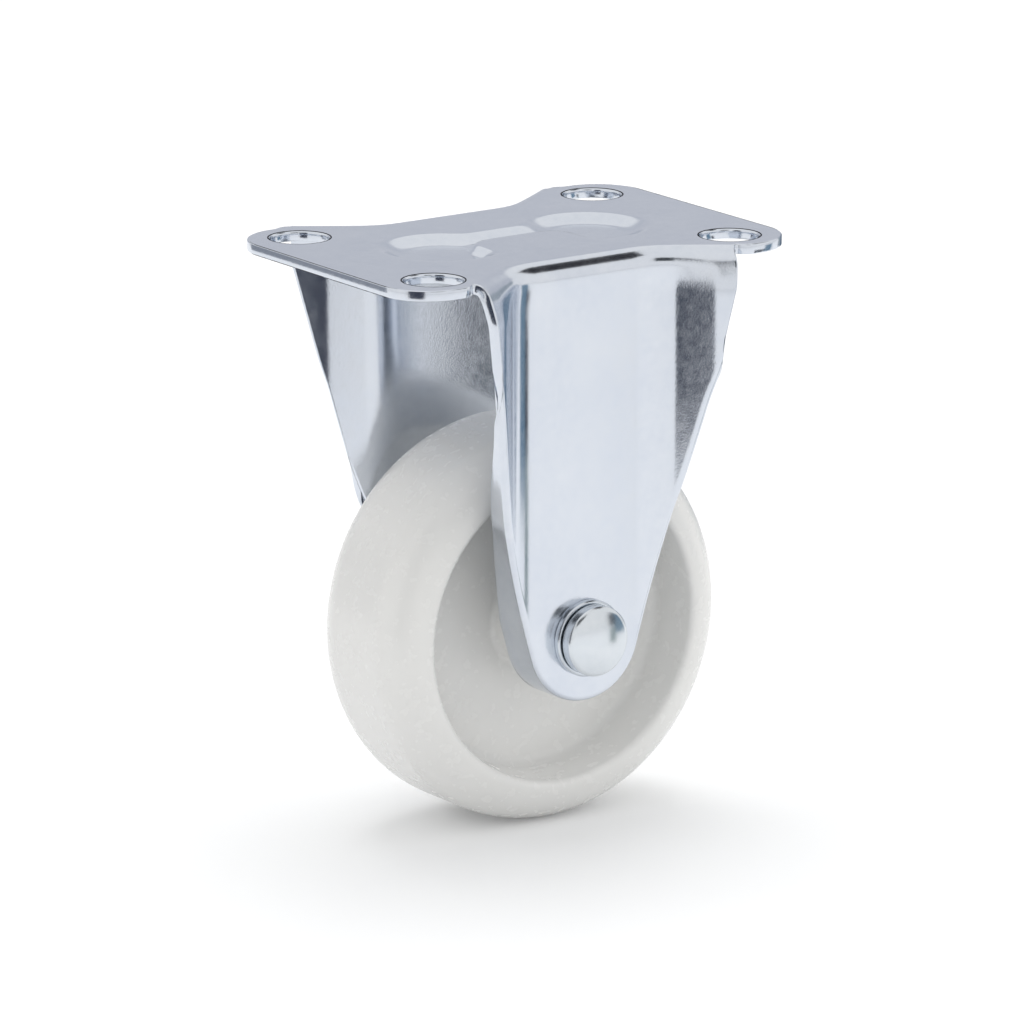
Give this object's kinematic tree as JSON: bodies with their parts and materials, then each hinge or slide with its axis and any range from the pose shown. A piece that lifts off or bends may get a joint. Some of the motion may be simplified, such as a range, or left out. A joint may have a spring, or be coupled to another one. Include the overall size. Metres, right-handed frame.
{
  "type": "rigid plate castor",
  "caption": "Rigid castor: a folded zinc-plated steel housing with a rounded fixing plate and flared legs, and a white nylon wheel turning on a riveted axle.",
  "frame": {"origin": "centre of the four-hole pattern on the top face of the plate", "axes": "+Z out of the plate's top face, away from the wheel; X the rolling direction and the plate's long side; Y the axle's direction, with the rivet's domed head at -Y"},
  "size_m": [0.0576, 0.044, 0.0725],
  "materials": {
    "zinc_sheet": "bright zinc plating, slightly streaked, with fine grain",
    "nylon": "smooth moulded white nylon",
    "rivet_steel": "polished bright zinc plating",
    "washer_steel": "zinc plating",
    "tube_steel": "drawn steel"
  },
  "bodies": {
    "fork": {"housing": "zinc_sheet", "axle_rivet": "rivet_steel", "head_washer": "washer_steel", "closing_washer": "washer_steel", "axle_tube": "tube_steel"},
    "wheel": {"wheel": "nylon"}
  },
  "joints": [
    {"name": "wheel_spin", "type": "hinge", "parent": "fork", "child": "wheel", "pos_m": [0, 0, -0.0475], "axis": [0, 1, 0], "continuous": true}
  ]
}
